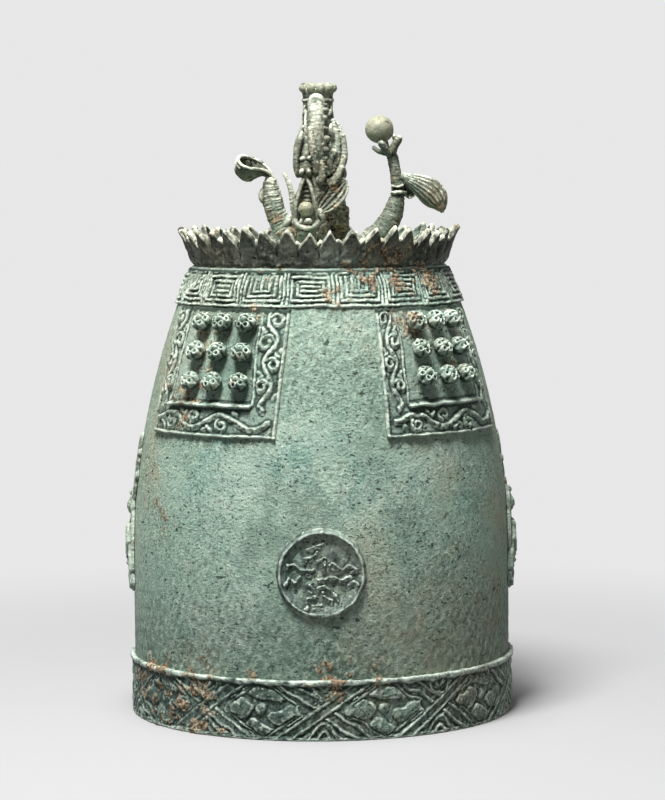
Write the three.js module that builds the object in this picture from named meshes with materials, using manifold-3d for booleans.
// A cast bronze temple bell with a dragon loop and a sound tube, in millimetres.
// It stands on its mouth with +Z up, its front faces -Y, and azimuths turn from the front towards +X.
// Relief that was laid on the wax model of the bell is a piece of its own, seated on the bell wall.
import * as THREE from "three";
import { mergeVertices } from "three/addons/utils/BufferGeometryUtils.js";
import Module from "manifold-3d";

const wasm = await Module();
wasm.setup();

// Fits and fineness
const seatGap = 0.3;
const facets = 60;
const limbSides = 8;

// Bell wall
const wallHeight = 219.5;
const bellyRadius = 92.8;
const bellyHeight = 75;
const shoulderRadius = 62.5;
const wallThickness = 5.2;
const wallSpans = 6;
const shoulderLedge = 9;
const shoulderLedgeDepth = 7;
const shoulderFillet = 9;

// Crown plate and the collar of standing lotus petals round it
const plateThickness = 4;
const plateSeat = 5.5;
const petalCount = 40;
const petalSamples = 2;
const petalTipRise = 18.2;
const petalNotchRise = 10.2;
const petalThickness = 2.4;
const petalFlare = 7;
const collarOverhang = 0.5;

// Upper and lower ornament bands
const upperBandHeight = 17.2;
const upperBandRelief = 2;
const upperBandClearance = 0.9;
const lowerBandHeight = 28.6;
const lowerBandRelief = 2.4;
const bandBorder = 2.2;
const bandFieldRise = 0.85;

// Key frets on the upper band: framed blocks and combs in turn
const fretCells = 18;
const fretFront = -3.5;
const fretHalfWidth = 9.7;
const fretHalfHeight = 6.2;
const fretLine = 1.7;
const fretGap = 0.9;
const fretRise = 1.8;

// Lattice on the lower band: crossed straps with a drop over and under each crossing, and flowers between
const latticeRepeats = 10;
const crossingFront = 0.5;
const strapHalfWidth = 3;
const strapSlope = 0.7;
const dropHalfWidth = 7;
const dropTip = 5.4;
const flowerPetals = [
  { across: -12, up: 1.1, halfWidth: 8.3, halfHeight: 5.9, tilt: 0 },
  { across: 1.3, up: 8.3, halfWidth: 11, halfHeight: 3.4, tilt: -8 },
  { across: 11.8, up: -2.6, halfWidth: 9.4, halfHeight: 5, tilt: 0 },
  { across: -1.5, up: -8.6, halfWidth: 8.2, halfHeight: 4.4, tilt: -12 },
];
const flowerBossRadius = 2.8;
const flowerSides = 6;
const latticeRise = 1.5;

// Four nipple panels under the upper band
const panels = { front_left: -40, front_right: 47, back_right: 137, back_left: 226 };
const panelWidth = 52;
const panelHeight = 60.3;
const panelBorderWidth = 9;
const panelSillHeight = 15;
const panelRelief = 2.6;
const panelFieldRelief = 1;

// Nine flower nipples on each panel
const nippleRows = 3;
const nippleColumns = 3;
const nippleRowPitch = 14.3;
const nippleColumnPitch = 9.9;
const nippleTopRowDrop = 6.6;
const nippleRadius = 5.2;
const nippleFootRadius = 3.2;
const nippleHeight = 5;
const nippleHollow = 1.1;
const nippleEyeRadius = 1.9;
const nippleSides = 10;

// Two striking roundels
const roundelRadius = 21;
const roundelHeight = 78.5;
const roundelRim = 2.2;
const roundelRelief = 2.1;
const roundelFloor = 0.6;
const roundelSides = 28;
const roundelFlowerRadius = 5;
const roundelFlowerReach = 11.2;
const roundelFlowerRelief = 1.7;

// Two seated figures on trailing clouds, one on each side
const figureBase = 60;
const figureStandOut = 4.4;
const figureCloudWidth = 26;
const figureHeadRise = 44;
const cloudTailRise = 79;

// Sound tube
const tubeSetback = 14;
const tubeHeight = 83;
const tubeRadius = 7.4;
const tubeRimRadius = 8.3;
const tubeRimHeight = 6;
const tubeBore = 4.1;
const tubeSides = 20;
const beadCount = 8;
const beadRadius = 2.9;
const beadRingRadius = 6.6;

// Dragon
const bodyRadius = 9;
const neckRadius = 4.2;
const neckReach = 13.5;
const neckTopRise = 76;
const headLength = 33;
const headHalfWidth = 6.4;
const headReach = 18;
const headShift = -6.2;
const mouthJewelRadius = 3.4;
const clawJewelRadius = 7;
const clawJewelRise = 62;
const clawJewelReach = 28.9;
const foreArmRadius = 5.2;
const wristRadius = 2.6;
const maneRadius = 3.6;
const flameThickness = 1.1;

const plateTop = wallHeight + plateThickness;
const plateRadius = shoulderRadius - shoulderLedge + plateSeat;
const tubeTop = plateTop + tubeHeight;
const bandTop = wallHeight - upperBandClearance;
const bandBottom = bandTop - upperBandHeight;
const panelTop = bandBottom - seatGap;
const panelBottom = panelTop - panelHeight;

// Outer radius of the wall: straight up to the belly, then a parabola in to the shoulder.
function wallRadius(z) {
  const rise = Math.max(0, (z - bellyHeight) / (wallHeight - bellyHeight));
  return bellyRadius - (bellyRadius - shoulderRadius) * rise ** 2;
}

// How far the wall leans in at a height, as an angle from upright.
function wallLean(z) {
  const step = 1;
  return Math.atan2(wallRadius(z - step) - wallRadius(z + step), 2 * step);
}

// Heights between two others at which every turned surface has a ring of points.
function ringsBetween(low, high) {
  const span = (wallHeight - bellyHeight) / wallSpans;
  const stations = [];
  for (let i = 0; i <= wallSpans; i++) stations.push(bellyHeight + i * span);
  return stations.filter((z) => z > low + seatGap && z < high - seatGap);
}

function radians(degrees) {
  return (degrees * Math.PI) / 180;
}

// A closed geometry as a solid whose faces point out.
function solidFrom(geometry) {
  const bare = new THREE.BufferGeometry().setAttribute("position", geometry.getAttribute("position"));
  if (geometry.index) bare.setIndex(geometry.index);
  const merged = mergeVertices(bare, 1e-4);
  const corners = merged.index.array;
  const kept = [];
  for (let i = 0; i < corners.length; i += 3) {
    const [a, b, c] = corners.subarray(i, i + 3);
    if (a !== b && b !== c && c !== a) kept.push(a, b, c);
  }
  const vertProperties = new Float32Array(merged.attributes.position.array);
  const made = (triangles) =>
    new wasm.Manifold(new wasm.Mesh({ numProp: 3, vertProperties, triVerts: new Uint32Array(triangles) }));
  const solid = made(kept);
  return solid.volume() > 0 ? solid : made(kept.reverse());
}

// A solid as a geometry with flat-shaded faces.
function geometryFrom(solid) {
  const made = solid.getMesh();
  const points = new Float32Array(made.numVert * 3);
  for (let i = 0; i < made.numVert; i++) {
    points.set(made.vertProperties.subarray(i * made.numProp, i * made.numProp + 3), i * 3);
  }
  const geometry = new THREE.BufferGeometry();
  geometry.setAttribute("position", new THREE.BufferAttribute(points, 3));
  geometry.setIndex(new THREE.BufferAttribute(made.triVerts, 1));
  geometry.computeVertexNormals();
  return geometry;
}

function union(solids) {
  return solids.reduce((whole, next) => whole.add(next));
}

// Solid of revolution about the Z axis from [radius, height] pairs.
function turned(profile, sides = facets) {
  const points = profile.map(([r, z]) => new THREE.Vector2(r, z));
  return solidFrom(new THREE.LatheGeometry(points, sides).rotateX(Math.PI / 2));
}

// A ring of revolution: the profile closes on itself.
function turnedRing(profile, sides = facets) {
  return turned([...profile, profile[0]], sides);
}

// The wall's shape grown outwards by an offset, solid to the axis, between two heights.
function wallBody(offset, low, high) {
  const rings = [low, ...ringsBetween(low, high), high].map((z) => [wallRadius(z) + offset, z]);
  return turned([[0, low], ...rings, [0, high]]);
}

// Triangular wedge from the axis outwards, for cutting a stretch of azimuth.
function sector(azimuth, width, low, high) {
  const reach = (2 * bellyRadius) / Math.cos(radians(width / 2));
  const corners = [-1, 1].map((side) => {
    const a = radians(azimuth + (side * width) / 2);
    return new THREE.Vector2(reach * Math.sin(a), -reach * Math.cos(a));
  });
  const shape = new THREE.Shape([new THREE.Vector2(0, 0), ...corners]);
  const wedge = new THREE.ExtrudeGeometry(shape, { depth: high - low, bevelEnabled: false });
  return solidFrom(wedge.translate(0, 0, low));
}

// Cylinder that points out of the wall at the front, then is turned to its azimuth.
function radialPlug(azimuth, z, radius, across = 0, sides = roundelSides) {
  const plug = new THREE.CylinderGeometry(radius, radius, bellyRadius, sides);
  plug.translate(across, -bellyRadius, z);
  return solidFrom(plug.rotateZ(radians(azimuth)));
}

// Plate of any outline that points out of the wall at the front, then is turned to its azimuth.
function radialPlate(azimuth, z, corners, hole = null) {
  const pathPoints = (points) => points.map(([x, y]) => new THREE.Vector2(x, y));
  const shape = new THREE.Shape(pathPoints(corners));
  if (hole) shape.holes.push(new THREE.Path(pathPoints(hole)));
  const depth = 0.4 * wallRadius(z);
  const plate = new THREE.ExtrudeGeometry(shape, { depth, bevelEnabled: false });
  plate.rotateX(Math.PI / 2).translate(0, -2 * depth, z);
  return solidFrom(plate.rotateZ(radians(azimuth)));
}

// Ellipsoid lump at a place given by how far across, how high and how proud it stands.
function lump(azimuth, across, z, halfSizes, proud = 0) {
  const ball = new THREE.SphereGeometry(1, 10, 6);
  ball.scale(...halfSizes).translate(across, -wallRadius(z) - proud, z);
  return solidFrom(ball.rotateZ(radians(azimuth)));
}

// Tapered limb of oval section along a smooth curve: each stop is [x, y, z, half width, half depth].
function limb(stops, grow = 0, sides = limbSides) {
  const curve = new THREE.CatmullRomCurve3(stops.map(([x, y, z]) => new THREE.Vector3(x, y, z)));
  const steps = 2 * (stops.length - 1);
  const frames = curve.computeFrenetFrames(steps);
  const points = [];
  for (let i = 0; i <= steps; i++) {
    const centre = curve.getPoint(i / steps);
    const before = stops[Math.floor(i / 2)];
    const after = stops[Math.ceil(i / 2)];
    const tangent = frames.tangents[i];
    const across = new THREE.Vector3(1, 0, 0).addScaledVector(tangent, -tangent.x).normalize();
    const deep = new THREE.Vector3().crossVectors(tangent, across);
    for (let k = 0; k < sides; k++) {
      const a = (2 * Math.PI * k) / sides;
      const w = ((before[3] + after[3]) / 2 + grow) * Math.cos(a);
      const d = (((before[4] ?? before[3]) + (after[4] ?? after[3])) / 2 + grow) * Math.sin(a);
      points.push(centre.clone().addScaledVector(across, w).addScaledVector(deep, d));
    }
  }
  return tubeSkin(points, steps, sides, curve, frames, grow);
}

// Side faces and two rounded-off ends over rings of points.
function tubeSkin(points, steps, sides, curve, frames, grow) {
  const ends = [0, 1].map((t) => {
    const tangent = frames.tangents[t * steps];
    return curve.getPoint(t).addScaledVector(tangent, (2 * t - 1) * (grow + 0.8));
  });
  const index = [];
  for (let i = 0; i < steps; i++) {
    for (let k = 0; k < sides; k++) {
      const next = (k + 1) % sides;
      const [a, b, c, d] = [i * sides + k, i * sides + next, (i + 1) * sides + next, (i + 1) * sides + k];
      index.push(a, b, c, a, c, d);
    }
  }
  const last = steps * sides;
  for (let k = 0; k < sides; k++) {
    const next = (k + 1) % sides;
    index.push(points.length, next, k, points.length + 1, last + k, last + next);
  }
  const geometry = new THREE.BufferGeometry().setFromPoints([...points, ...ends]);
  geometry.setIndex(index);
  return solidFrom(geometry);
}

function ball(x, y, z, radius, detail = 1) {
  const sphere = new THREE.IcosahedronGeometry(radius, detail);
  return solidFrom(sphere.translate(x, y, z));
}

function bellWall() {
  const ledgeRadius = shoulderRadius - shoulderLedge;
  const ledgeBottom = wallHeight - shoulderLedgeDepth;
  const innerTop = ledgeBottom - shoulderFillet;
  const heights = [0, ...ringsBetween(0, wallHeight), wallHeight];
  const outer = heights.map((z) => [wallRadius(z), z]);
  const innerHeights = [innerTop, ...ringsBetween(0, innerTop).reverse(), 0];
  const inner = innerHeights.map((z) => [wallRadius(z) - wallThickness, z]);
  return turnedRing([...outer, [ledgeRadius, wallHeight], [ledgeRadius, ledgeBottom], ...inner]);
}

// Disc over the shoulder opening, bored where the sound tube opens into the bell.
function crownPlate() {
  const disc = turned([[0, wallHeight], [plateRadius, wallHeight], [plateRadius, plateTop], [0, plateTop]]);
  const bore = new THREE.CylinderGeometry(tubeBore, tubeBore, 3 * plateThickness, tubeSides);
  return disc.subtract(solidFrom(bore.rotateX(Math.PI / 2).translate(0, tubeSetback, wallHeight)));
}

// Ring of petals whose pointed tips flare out and whose notches stay low.
function lotusCollar() {
  const samples = petalCount * petalSamples;
  const inner = plateRadius + seatGap;
  const points = [];
  for (let i = 0; i < samples; i++) {
    const angle = (2 * Math.PI * i) / samples;
    const share = Math.abs(((2 * i) / petalSamples) % 2 - 1);
    const rise = petalNotchRise + (petalTipRise - petalNotchRise) * Math.sqrt(share);
    const lip = shoulderRadius + petalFlare * (rise / petalTipRise) ** 2;
    const waist = petalNotchRise * 0.55;
    const section = [
      [inner, 0],
      [shoulderRadius + collarOverhang, 0],
      [shoulderRadius + collarOverhang + petalFlare * 0.1, waist],
      [lip + petalThickness * 0.4, rise],
      [lip - petalThickness * 0.6, rise],
      [inner, waist],
    ];
    for (const [r, z] of section) {
      points.push(new THREE.Vector3(r * Math.sin(angle), -r * Math.cos(angle), wallHeight + z));
    }
  }
  const width = points.length / samples;
  const index = [];
  for (let i = 0; i < samples; i++) {
    const on = (i + 1) % samples;
    for (let k = 0; k < width; k++) {
      const up = (k + 1) % width;
      const [a, b, c, d] = [i * width + k, on * width + k, on * width + up, i * width + up];
      index.push(a, b, c, a, c, d);
    }
  }
  const geometry = new THREE.BufferGeometry().setFromPoints(points);
  geometry.setIndex(index);
  return solidFrom(geometry);
}

// Ornament band with a raised border along its top and bottom edge, and plates of relief on its field.
function band(low, high, relief, plates, plateRise) {
  const field = [low + bandBorder, high - bandBorder];
  const steps = [low, field[0], field[0], ...ringsBetween(...field), field[1], field[1], high];
  const outer = steps.map((z, i) => {
    const raised = i < 2 || i > steps.length - 3;
    return [wallRadius(z) + (raised ? relief : bandFieldRise), z];
  });
  const inner = [high, ...ringsBetween(low, high).reverse(), low].map((z) => [wallRadius(z) + seatGap, z]);
  const skin = wallBody(plateRise, low + bandBorder / 2, high - bandBorder / 2);
  const raisedPlates = union(plates).intersect(skin).subtract(wallBody(1.5 * seatGap, low, high));
  return turnedRing([...outer, ...inner]).add(raisedPlates);
}

function rectangle(halfWidth, low, high) {
  return [[-halfWidth, low], [halfWidth, low], [halfWidth, high], [-halfWidth, high]];
}

// Regular corners on an oval that is tilted by some degrees.
function oval({ across, up, halfWidth, halfHeight, tilt }, sides) {
  const [c, s] = [Math.cos(radians(tilt)), Math.sin(radians(tilt))];
  return Array.from({ length: sides }, (_, i) => {
    const turn = (2 * Math.PI * i) / sides;
    const [along, over] = [halfWidth * Math.cos(turn), halfHeight * Math.sin(turn)];
    return [across + along * c - over * s, up + along * s + over * c];
  });
}

// Framed cell of the key fret: a block inside a frame.
function framedCell(azimuth, z) {
  const [w, h] = [fretHalfWidth, fretHalfHeight];
  const hole = rectangle(w - fretLine, fretLine - h, h - fretLine);
  const inset = fretLine + fretGap;
  const block = rectangle(w - inset, inset - h, h - inset);
  return [radialPlate(azimuth, z, rectangle(w, -h, h), hole), radialPlate(azimuth, z, block)];
}

// Comb cell of the key fret: a trough, open to the upper border, round a comb of three teeth.
function combCell(azimuth, z) {
  const [w, h, top] = [fretHalfWidth, fretHalfHeight, fretHalfHeight + fretLine];
  const inner = w - fretLine;
  const trough = [[-w, top], [-w, -h], [w, -h], [w, top]];
  trough.push([inner, top], [inner, fretLine - h], [-inner, fretLine - h], [-inner, top]);
  const half = inner - fretGap;
  const [foot, root, tooth] = [fretLine + fretGap - h, -fretLine / 2, fretLine / 2];
  const side = half - 2 * fretLine;
  const comb = [[-half, foot], [half, foot], [half, top], [side, top], [side, root], [tooth, root], [tooth, top]];
  comb.push([-tooth, top], [-tooth, root], [-side, root], [-side, top], [-half, top]);
  return [radialPlate(azimuth, z, trough), radialPlate(azimuth, z, comb)];
}

// All the upper band's cells, with an upright bar between neighbours.
function keyFret() {
  const middle = (bandBottom + bandTop) / 2;
  const pitch = 360 / fretCells;
  const plates = [];
  for (let i = 0; i < fretCells; i++) {
    const azimuth = fretFront + i * pitch;
    plates.push(...(i % 2 ? combCell : framedCell)(azimuth, middle));
    const bar = rectangle(fretLine / 2, -fretHalfHeight - fretLine, fretHalfHeight + fretLine);
    plates.push(radialPlate(azimuth + pitch / 2, middle, bar));
  }
  return plates;
}

// All the lower band's crossings, drops and flowers.
function lattice() {
  const middle = lowerBandHeight / 2;
  const reach = middle - bandBorder / 2;
  const lean = Math.atan(strapSlope);
  const [run, wide] = [reach / strapSlope, strapHalfWidth / Math.sin(lean)];
  const pitch = 360 / latticeRepeats;
  const plates = [];
  for (let i = 0; i < latticeRepeats; i++) {
    const azimuth = crossingFront + i * pitch;
    for (const side of [-1, 1]) {
      const [top, foot] = [side * run, -side * run];
      const strap = [[foot - wide, -reach], [foot + wide, -reach], [top + wide, reach], [top - wide, reach]];
      const drop = [[-dropHalfWidth, side * reach], [0, side * dropTip], [dropHalfWidth, side * reach]];
      plates.push(radialPlate(azimuth, middle, strap), radialPlate(azimuth, middle, drop));
    }
    const flower = azimuth + pitch / 2;
    const boss = { across: 0, up: 0, halfWidth: flowerBossRadius, halfHeight: flowerBossRadius, tilt: 0 };
    for (const part of [...flowerPetals, boss]) {
      plates.push(radialPlate(flower, middle, oval(part, flowerSides)));
    }
  }
  return plates;
}

// Relief slab on the wall: the cutter's outline between the seat and an outer offset.
function slab(cutter, low, high, proud) {
  const reach = wallHeight * 0.05;
  const skin = wallBody(seatGap + proud, low - reach, high + reach);
  return cutter.intersect(skin).subtract(wallBody(seatGap, low - 2 * reach, high + 2 * reach));
}

// U-shaped frame of scrollwork with a lower field that is open at the top.
function nipplePanel(azimuth) {
  const fieldBottom = panelBottom + panelSillHeight;
  const fieldWidth = panelWidth - 2 * panelBorderWidth;
  const outline = sector(azimuth, panelWidth, panelBottom, panelTop);
  const field = sector(azimuth, fieldWidth, fieldBottom, panelTop + panelRelief);
  const frame = slab(outline, panelBottom, panelTop - panelRelief, panelRelief);
  const keep = wallBody(seatGap + panelFieldRelief, panelBottom, wallHeight);
  return frame.subtract(field.subtract(keep));
}

// Flower on a short cone that stands square to the wall.
function nipple(azimuth, z) {
  const rim = nippleHeight * 0.7;
  const profile = [
    [0, 0],
    [nippleFootRadius, 0],
    [nippleRadius, rim],
    [nippleRadius * 0.85, nippleHeight],
    [nippleEyeRadius, nippleHeight - nippleHollow],
    [0, nippleHeight],
  ];
  const points = profile.map(([r, h]) => new THREE.Vector2(r, h));
  const flower = new THREE.LatheGeometry(points, nippleSides).rotateX(Math.PI);
  flower.rotateX(-wallLean(z));
  const foot = wallRadius(z) + seatGap + panelFieldRelief + seatGap;
  flower.translate(0, -foot, z);
  return solidFrom(flower.rotateZ(radians(azimuth)));
}

// Round striking seat: a rim, a sunk floor and four flowers on it.
function strikeRoundel(azimuth) {
  const low = roundelHeight - roundelRadius;
  const high = roundelHeight + roundelRadius;
  const disc = slab(radialPlug(azimuth, roundelHeight, roundelRadius), low, high, roundelRelief);
  const hollow = radialPlug(azimuth, roundelHeight, roundelRadius - roundelRim);
  const floor = wallBody(seatGap + roundelFloor, low - roundelRim, high + roundelRim);
  const flowers = [0, 1, 2, 3].map((quarter) => {
    const a = (quarter * Math.PI) / 2;
    const across = roundelFlowerReach * Math.sin(a);
    const z = roundelHeight + roundelFlowerReach * Math.cos(a);
    const plug = radialPlug(azimuth, z, roundelFlowerRadius, across, 8);
    return slab(plug, low, high, roundelFlowerRelief);
  });
  return union([disc.subtract(hollow.subtract(floor)), ...flowers]);
}

// Seated figure in robes before a halo, on a cloud with a tail that trails up the wall.
function sideFigure(azimuth) {
  const half = figureCloudWidth / 2;
  const thick = figureStandOut;
  const head = figureBase + figureHeadRise;
  const lumps = [
    lump(azimuth, 0, figureBase + 6, [half, thick, 6]),
    lump(azimuth, -half * 0.7, figureBase + 4, [half * 0.45, thick * 0.8, 4.5]),
    lump(azimuth, half * 0.7, figureBase + 4, [half * 0.45, thick * 0.8, 4.5]),
    lump(azimuth, 0, figureBase + 14, [half * 0.8, thick, 6]),
    lump(azimuth, 0, figureBase + 26, [half * 0.48, thick, 14]),
    lump(azimuth, 0, head - 4, [half * 0.62, thick * 0.5, 11]),
    lump(azimuth, 0, head, [4.2, thick, 5.4]),
    lump(azimuth, half * 0.5, head + 10, [4.6, thick * 0.55, 12]),
    lump(azimuth, half * 0.75, figureBase + cloudTailRise - 14, [3.2, thick * 0.4, 14]),
  ];
  return union(lumps).subtract(wallBody(seatGap, figureBase - half, wallHeight));
}

function tubeProfile(grow) {
  const foot = plateTop - grow;
  return [
    [tubeRadius + grow, foot],
    [tubeRadius + grow, tubeTop - tubeRimHeight],
    [tubeRimRadius + grow, tubeTop - tubeRimHeight / 2],
    [tubeRimRadius + grow, tubeTop + grow],
  ];
}

function placedTube(solid) {
  return solid.translate([0, tubeSetback, 0]);
}

// Sound tube over the crown plate's bore, crowned with a ring of beads.
function soundTube() {
  const shell = turnedRing([...tubeProfile(0), [tubeBore, tubeTop], [tubeBore, plateTop]], tubeSides);
  const beads = [];
  for (let i = 0; i < beadCount; i++) {
    const a = (2 * Math.PI * (i + 0.5)) / beadCount;
    beads.push(ball(beadRingRadius * Math.sin(a), -beadRingRadius * Math.cos(a), tubeTop, beadRadius, 1));
  }
  const bore = turned([[0, plateTop], [tubeBore, plateTop], [tubeBore, tubeTop + 9], [0, tubeTop + 9]], tubeSides);
  return placedTube(union([shell, ...beads]).subtract(bore));
}

// Space that the sound tube takes up, with the seat gap round it.
function tubeRoom() {
  const room = turned([[0, plateTop - 9], ...tubeProfile(seatGap), [0, tubeTop + seatGap]], tubeSides);
  return placedTube(room);
}

// Space under the top of the crown plate, grown by a gap.
function plateRoom(gap) {
  return turned([[0, 0], [plateRadius, 0], [plateRadius, plateTop + gap], [0, plateTop + gap]]);
}

// Crouching body round the foot of the sound tube, with a haunch up its right side.
function dragonBody(grow = 0) {
  const seat = plateTop + bodyRadius * 0.35;
  const mound = limb([
    [-17, 10, seat, bodyRadius * 0.6, 4],
    [-9, 2, seat + 2, bodyRadius, 7],
    [2, -2, seat + 2, bodyRadius, 7],
    [11, 5, seat, bodyRadius * 0.7, 5],
  ], grow);
  const haunch = limb([
    [9, 2, seat, 6, 6],
    [10.5, 3, seat + 9, 5, 5],
    [10.5, 4, seat + 19, 3.6, 4],
    [9, 5, seat + 25, 2, 2.4],
  ], grow);
  return mound.add(haunch).subtract(plateRoom(0)).subtract(tubeRoom());
}

// Arched neck that makes the loop the bell hangs by, from the sound tube over to the head.
function dragonNeck(grow = 0) {
  const top = plateTop + neckTopRise;
  return limb([
    [-0.8, tubeSetback - 4, top - 8, neckRadius],
    [-0.8, tubeSetback - 9, top - 3.5, neckRadius],
    [-0.8, 0, top, neckRadius],
    [-0.8, -neckReach * 0.7, top - 4, neckRadius],
    [-0.8, -neckReach, top - 17, neckRadius],
    [-0.8, -neckReach, top - 32, neckRadius],
    [-1.5, -neckReach, top - 46, neckRadius],
  ], grow);
}

// Head thrown back with the upper jaw upright and the lower jaw resting on the body.
function dragonHead(grow = 0) {
  const chin = plateTop + 8;
  const brow = chin + headLength;
  const upper = limb([
    [headShift, -headReach + 5, chin - 1, headHalfWidth - 1, 4],
    [headShift, -headReach + 3, chin + 11, headHalfWidth, 5],
    [headShift, -headReach + 2, chin + 22, headHalfWidth, 4.4],
    [headShift, -headReach - 1, brow - 4, headHalfWidth * 0.6, 3],
    [headShift, -headReach - 3, brow, headHalfWidth * 0.4, 2.2],
  ], grow);
  const lower = limb([
    [headShift, -headReach + 7, chin + 2, 4.6, 3.6],
    [headShift, -headReach - 3, chin + 4, 5, 3.4],
    [headShift, -headReach - 10, chin + 7, 3.4, 2.2],
  ], grow);
  return upper.add(lower);
}

// Bead of fire held between the jaws.
function mouthJewel(grow = 0) {
  return ball(headShift, -headReach - 5, plateTop + 20, mouthJewelRadius + grow);
}

function maneLock() {
  return limb([
    [3.6, -12, plateTop + 43, maneRadius, 2.6],
    [8, -9, plateTop + 48, maneRadius, 2.6],
    [10, -6, plateTop + 57, maneRadius * 0.8, 2.2],
    [9, -4, plateTop + 67, maneRadius * 0.4, 1.2],
  ]);
}

function leftForeleg(grow = 0) {
  const shoulder = plateTop + 10;
  return limb([
    [-10, -4, shoulder, foreArmRadius],
    [-17, -5, shoulder + 5, foreArmRadius * 0.9],
    [-21, -5.5, shoulder + 14, foreArmRadius * 0.75],
    [-24.4, -5.5, shoulder + 24, wristRadius * 1.2],
    [-27, -6, shoulder + 31, wristRadius],
  ], grow);
}

// Raised leg whose claw holds the large jewel.
function rightForeleg(grow = 0) {
  const jewel = plateTop + clawJewelRise;
  return limb([
    [8, -4, plateTop + 4, foreArmRadius * 0.9],
    [20, -5, plateTop + 6, foreArmRadius * 0.8],
    [29, -5, plateTop + 13.5, foreArmRadius * 0.7],
    [36, -5, plateTop + 24, wristRadius * 1.2],
    [clawJewelReach + 8, -5, jewel - 20, wristRadius],
    [clawJewelReach + 6, -5, jewel - 11, wristRadius * 1.1],
    [clawJewelReach + 3, -5, jewel - 4, wristRadius],
  ], grow);
}

function clawJewel(grow = 0) {
  return ball(clawJewelReach, -5, plateTop + clawJewelRise, clawJewelRadius + grow);
}

// Thin flame off the left wrist, curling outwards.
function leftLegFlame() {
  const root = plateTop + 40;
  return limb([
    [-26, -6, root, 2, flameThickness],
    [-31, -6, root + 4, flameThickness, 5],
    [-37, -6.5, root + 3, flameThickness, 5.5],
    [-40.5, -7, root - 2, flameThickness, 2],
  ]);
}

// Thin flame off the right wrist, drooping outwards.
function rightLegFlame() {
  const root = plateTop + 39;
  return limb([
    [37, -5, root, 2, flameThickness],
    [45, -5, root + 1, flameThickness, 4],
    [53, -5.5, root - 3, flameThickness, 5.5],
    [59, -6, root - 11, flameThickness, 3],
  ]);
}

const patina = { color: 0x5f6b57, roughness: 0.78, metalness: 0.45 };
const paleBronze = { color: 0xa7a58c, roughness: 0.6, metalness: 0.4 };
const group = new THREE.Group();

// Add one named piece, turned into flat-shaded geometry.
function addPiece(name, solid, finish = patina) {
  const mesh = new THREE.Mesh(geometryFrom(solid), new THREE.MeshStandardMaterial(finish));
  mesh.name = name;
  group.add(mesh);
}

addPiece("bell_wall", bellWall());
addPiece("crown_plate", crownPlate());
addPiece("lotus_collar", lotusCollar(), paleBronze);
addPiece("upper_band", band(bandBottom, bandTop, upperBandRelief, keyFret(), fretRise));
addPiece("lower_band", band(0, lowerBandHeight, lowerBandRelief, lattice(), latticeRise), paleBronze);

for (const [place, azimuth] of Object.entries(panels)) {
  addPiece(`nipple_panel_${place}`, nipplePanel(azimuth));
  for (let row = 0; row < nippleRows; row++) {
    const z = panelTop - nippleTopRowDrop - row * nippleRowPitch;
    for (let column = 0; column < nippleColumns; column++) {
      const turn = azimuth + (column - (nippleColumns - 1) / 2) * nippleColumnPitch;
      addPiece(`nipple_${place}_${row + 1}${column + 1}`, nipple(turn, z));
    }
  }
}

addPiece("strike_roundel_front", strikeRoundel(0));
addPiece("strike_roundel_back", strikeRoundel(180));
addPiece("side_figure_left", sideFigure(-90));
addPiece("side_figure_right", sideFigure(90));

const neckSpace = () => union([dragonNeck(seatGap), tubeRoom(), plateRoom(seatGap)]);
const bodySpace = () => dragonBody(seatGap).add(plateRoom(seatGap));
addPiece("sound_tube", soundTube());
addPiece("dragon_body", dragonBody());
addPiece("dragon_neck", dragonNeck().subtract(tubeRoom()));
addPiece("dragon_head", dragonHead().subtract(union([neckSpace(), dragonBody(seatGap), mouthJewel(seatGap)])));
addPiece("mouth_jewel", mouthJewel(), paleBronze);
addPiece("mane_lock", maneLock().subtract(union([neckSpace(), dragonHead(seatGap)])));
addPiece("claw_jewel", clawJewel(), paleBronze);
addPiece("left_foreleg", leftForeleg().subtract(bodySpace().add(dragonHead(seatGap))));
addPiece("right_foreleg", rightForeleg().subtract(bodySpace().add(clawJewel(seatGap))));
addPiece("left_leg_flame", leftLegFlame().subtract(leftForeleg(seatGap)));
addPiece("right_leg_flame", rightLegFlame().subtract(rightForeleg(seatGap)));

export default group;
